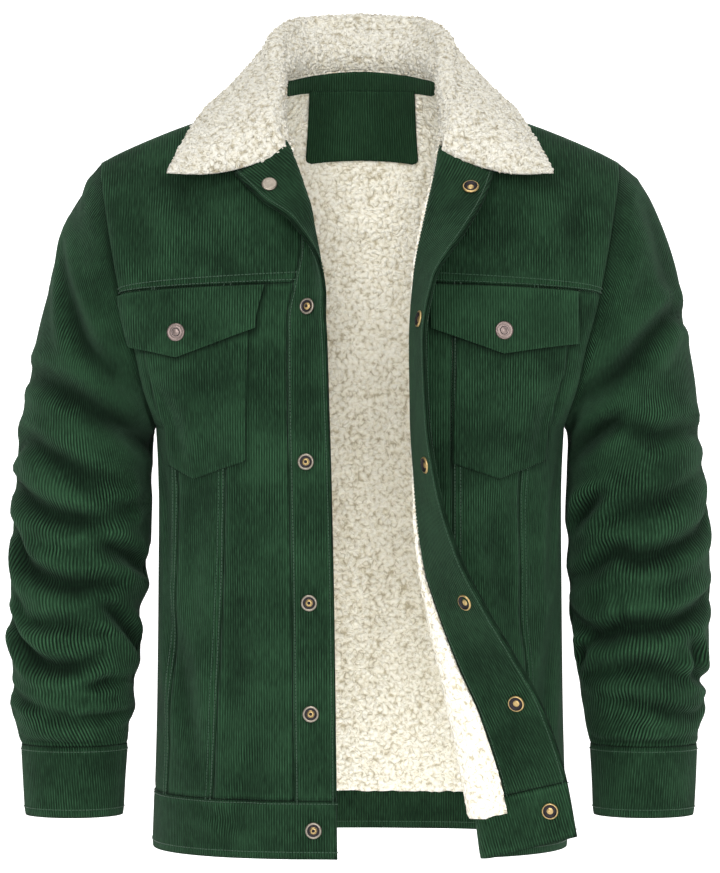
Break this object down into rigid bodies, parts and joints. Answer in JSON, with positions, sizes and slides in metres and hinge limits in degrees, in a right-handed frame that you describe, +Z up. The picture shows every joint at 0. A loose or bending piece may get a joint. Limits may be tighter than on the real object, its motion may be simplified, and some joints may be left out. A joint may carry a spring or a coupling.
{
  "type": "sherpa lined corduroy jacket",
  "caption": "Corduroy trucker jacket with a sherpa lining and collar, chest pockets with flaps, a snap front that hangs open and plain cuffs, filled out as worn.",
  "frame": {"origin": "on the middle plane of the jacket, level with the shoulder seams just under the neck, where the wearer's shoulders carry it", "axes": "+Z up, from hem to collar; +X to the wearer's left; the open front faces -Y"},
  "size_m": [0.65, 0.3016, 0.7809],
  "materials": {
    "corduroy": "dark green cotton corduroy, ribbed, matt with a soft nap",
    "sherpa": "cream curled pile, matt and fuzzy",
    "snap": "antique silver-brass plating with a dark recess, satin"
  },
  "bodies": {
    "root": {"waistband_r": "corduroy", "waistband_l": "corduroy", "waistband_back": "corduroy", "back": "corduroy", "back_yoke": "corduroy", "placket_r": "corduroy", "front_centre_r": "corduroy", "front_middle_r": "corduroy", "front_side_r": "corduroy", "front_yoke_r": "corduroy", "facing_r": "corduroy", "pocket_r": "corduroy", "pocket_flap_r": "corduroy", "sleeve_front_r": "corduroy", "sleeve_back_r": "corduroy", "cuff_r": "corduroy", "placket_l": "corduroy", "front_centre_l": "corduroy", "front_middle_l": "corduroy", "front_side_l": "corduroy", "front_yoke_l": "corduroy", "facing_l": "corduroy", "pocket_l": "corduroy", "pocket_flap_l": "corduroy", "sleeve_front_l": "corduroy", "sleeve_back_l": "corduroy", "cuff_l": "corduroy", "under_collar": "corduroy", "neck_strip": "corduroy", "neck_patch": "corduroy", "lining_front_r": "sherpa", "lining_front_l": "sherpa", "lining_back": "sherpa", "collar": "sherpa", "snap_stud_1": "snap", "snap_post_1": "snap", "snap_socket_1": "snap", "snap_cap_1": "snap", "snap_stud_2": "snap", "snap_post_2": "snap", "snap_socket_2": "snap", "snap_cap_2": "snap", "snap_stud_3": "snap", "snap_post_3": "snap", "snap_socket_3": "snap", "snap_cap_3": "snap", "snap_stud_4": "snap", "snap_post_4": "snap", "snap_socket_4": "snap", "snap_cap_4": "snap", "snap_stud_5": "snap", "snap_post_5": "snap", "snap_socket_5": "snap", "snap_cap_5": "snap", "snap_stud_6": "snap", "snap_post_6": "snap", "snap_socket_6": "snap", "snap_cap_6": "snap", "flap_button_r": "snap", "flap_button_l": "snap"}
  },
  "joints": []
}
